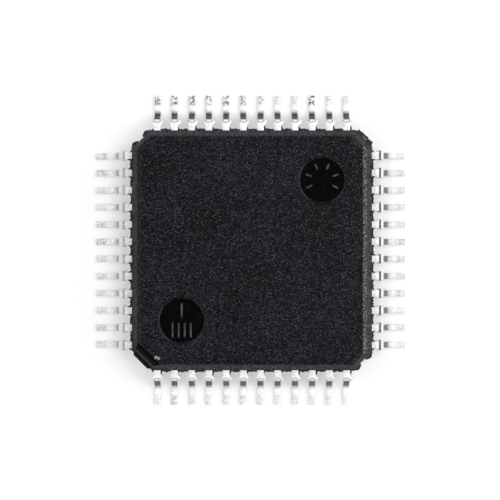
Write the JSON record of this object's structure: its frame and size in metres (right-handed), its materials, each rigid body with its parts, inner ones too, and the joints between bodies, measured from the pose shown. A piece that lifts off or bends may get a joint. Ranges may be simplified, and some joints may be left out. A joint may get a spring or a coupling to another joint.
{
  "type": "quad flat pack chip",
  "caption": "Square black moulded chip package with gull-wing leads along all four sides, two round recesses in its top and a bevelled index corner, for soldering flat onto a board.",
  "frame": {"origin": "middle of the surface that the feet stand on", "axes": "+Z up, out of the marked top. Seen from above with +Y up and +X to the right, the bevelled index corner is at the lower left. Lead 1 is the first of the lower row on the left, and the numbers run anticlockwise."},
  "size_m": [0.009, 0.009, 0.0015],
  "materials": {
    "mould_compound": "fine matt spark-eroded texture, polished in the round recesses",
    "tin_plate": "matt tin plating, slightly mottled",
    "copper_alloy": "plain rolled strip",
    "die_glue": "cured silver-filled glue",
    "silicon": "polished",
    "gold_wire": "bright drawn wire"
  },
  "bodies": {
    "root": {"mould_body": "mould_compound", "lead_01": "tin_plate", "lead_02": "tin_plate", "lead_03": "tin_plate", "lead_04": "tin_plate", "lead_05": "tin_plate", "lead_06": "tin_plate", "lead_07": "tin_plate", "lead_08": "tin_plate", "lead_09": "tin_plate", "lead_10": "tin_plate", "lead_11": "tin_plate", "lead_12": "tin_plate", "lead_13": "tin_plate", "lead_14": "tin_plate", "lead_15": "tin_plate", "lead_16": "tin_plate", "lead_17": "tin_plate", "lead_18": "tin_plate", "lead_19": "tin_plate", "lead_20": "tin_plate", "lead_21": "tin_plate", "lead_22": "tin_plate", "lead_23": "tin_plate", "lead_24": "tin_plate", "lead_25": "tin_plate", "lead_26": "tin_plate", "lead_27": "tin_plate", "lead_28": "tin_plate", "lead_29": "tin_plate", "lead_30": "tin_plate", "lead_31": "tin_plate", "lead_32": "tin_plate", "lead_33": "tin_plate", "lead_34": "tin_plate", "lead_35": "tin_plate", "lead_36": "tin_plate", "lead_37": "tin_plate", "lead_38": "tin_plate", "lead_39": "tin_plate", "lead_40": "tin_plate", "lead_41": "tin_plate", "lead_42": "tin_plate", "lead_43": "tin_plate", "lead_44": "tin_plate", "lead_45": "tin_plate", "lead_46": "tin_plate", "lead_47": "tin_plate", "lead_48": "tin_plate", "die_paddle": "copper_alloy", "die_attach": "die_glue", "silicon_die": "silicon", "bond_wires": "gold_wire"}
  },
  "joints": []
}
